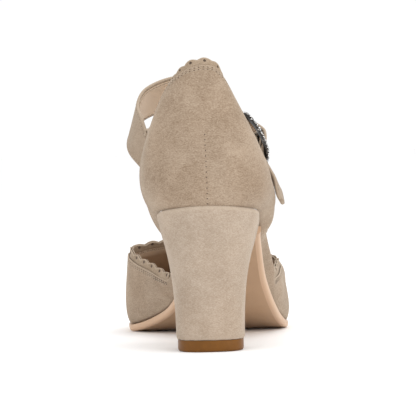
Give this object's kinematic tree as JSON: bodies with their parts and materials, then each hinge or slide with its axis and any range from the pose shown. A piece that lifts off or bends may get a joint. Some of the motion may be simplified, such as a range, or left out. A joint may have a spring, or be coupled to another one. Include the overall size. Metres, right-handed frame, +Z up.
{
  "type": "dirndl pump",
  "caption": "Right dirndl pump: suede upper with scalloped edges and cut-away sides, closed round toe, covered block heel and a buckled instep strap.",
  "frame": {"origin": "centre of the heel top piece's bottom face, on the floor", "axes": "+Y towards the toe, +X towards the outer side of the foot, +Z up"},
  "size_m": [0.0848, 0.227, 0.1339],
  "materials": {
    "suede": "matt napped suede",
    "heel_suede": "matt napped suede",
    "top_piece": "smooth amber brown",
    "sole_leather": "smooth, light edge",
    "lining_leather": "soft semi-matt",
    "buckle_metal": "antique silver"
  },
  "bodies": {
    "root": {"upper": "suede", "collar_trim": "suede", "vamp_trim": "suede", "instep_strap": "suede", "buckle_tab": "suede", "heel_block": "heel_suede", "heel_top_piece": "top_piece", "outsole": "sole_leather", "insole": "lining_leather", "buckle_frame": "buckle_metal", "buckle_bar": "buckle_metal", "buckle_prong": "buckle_metal"}
  },
  "joints": []
}
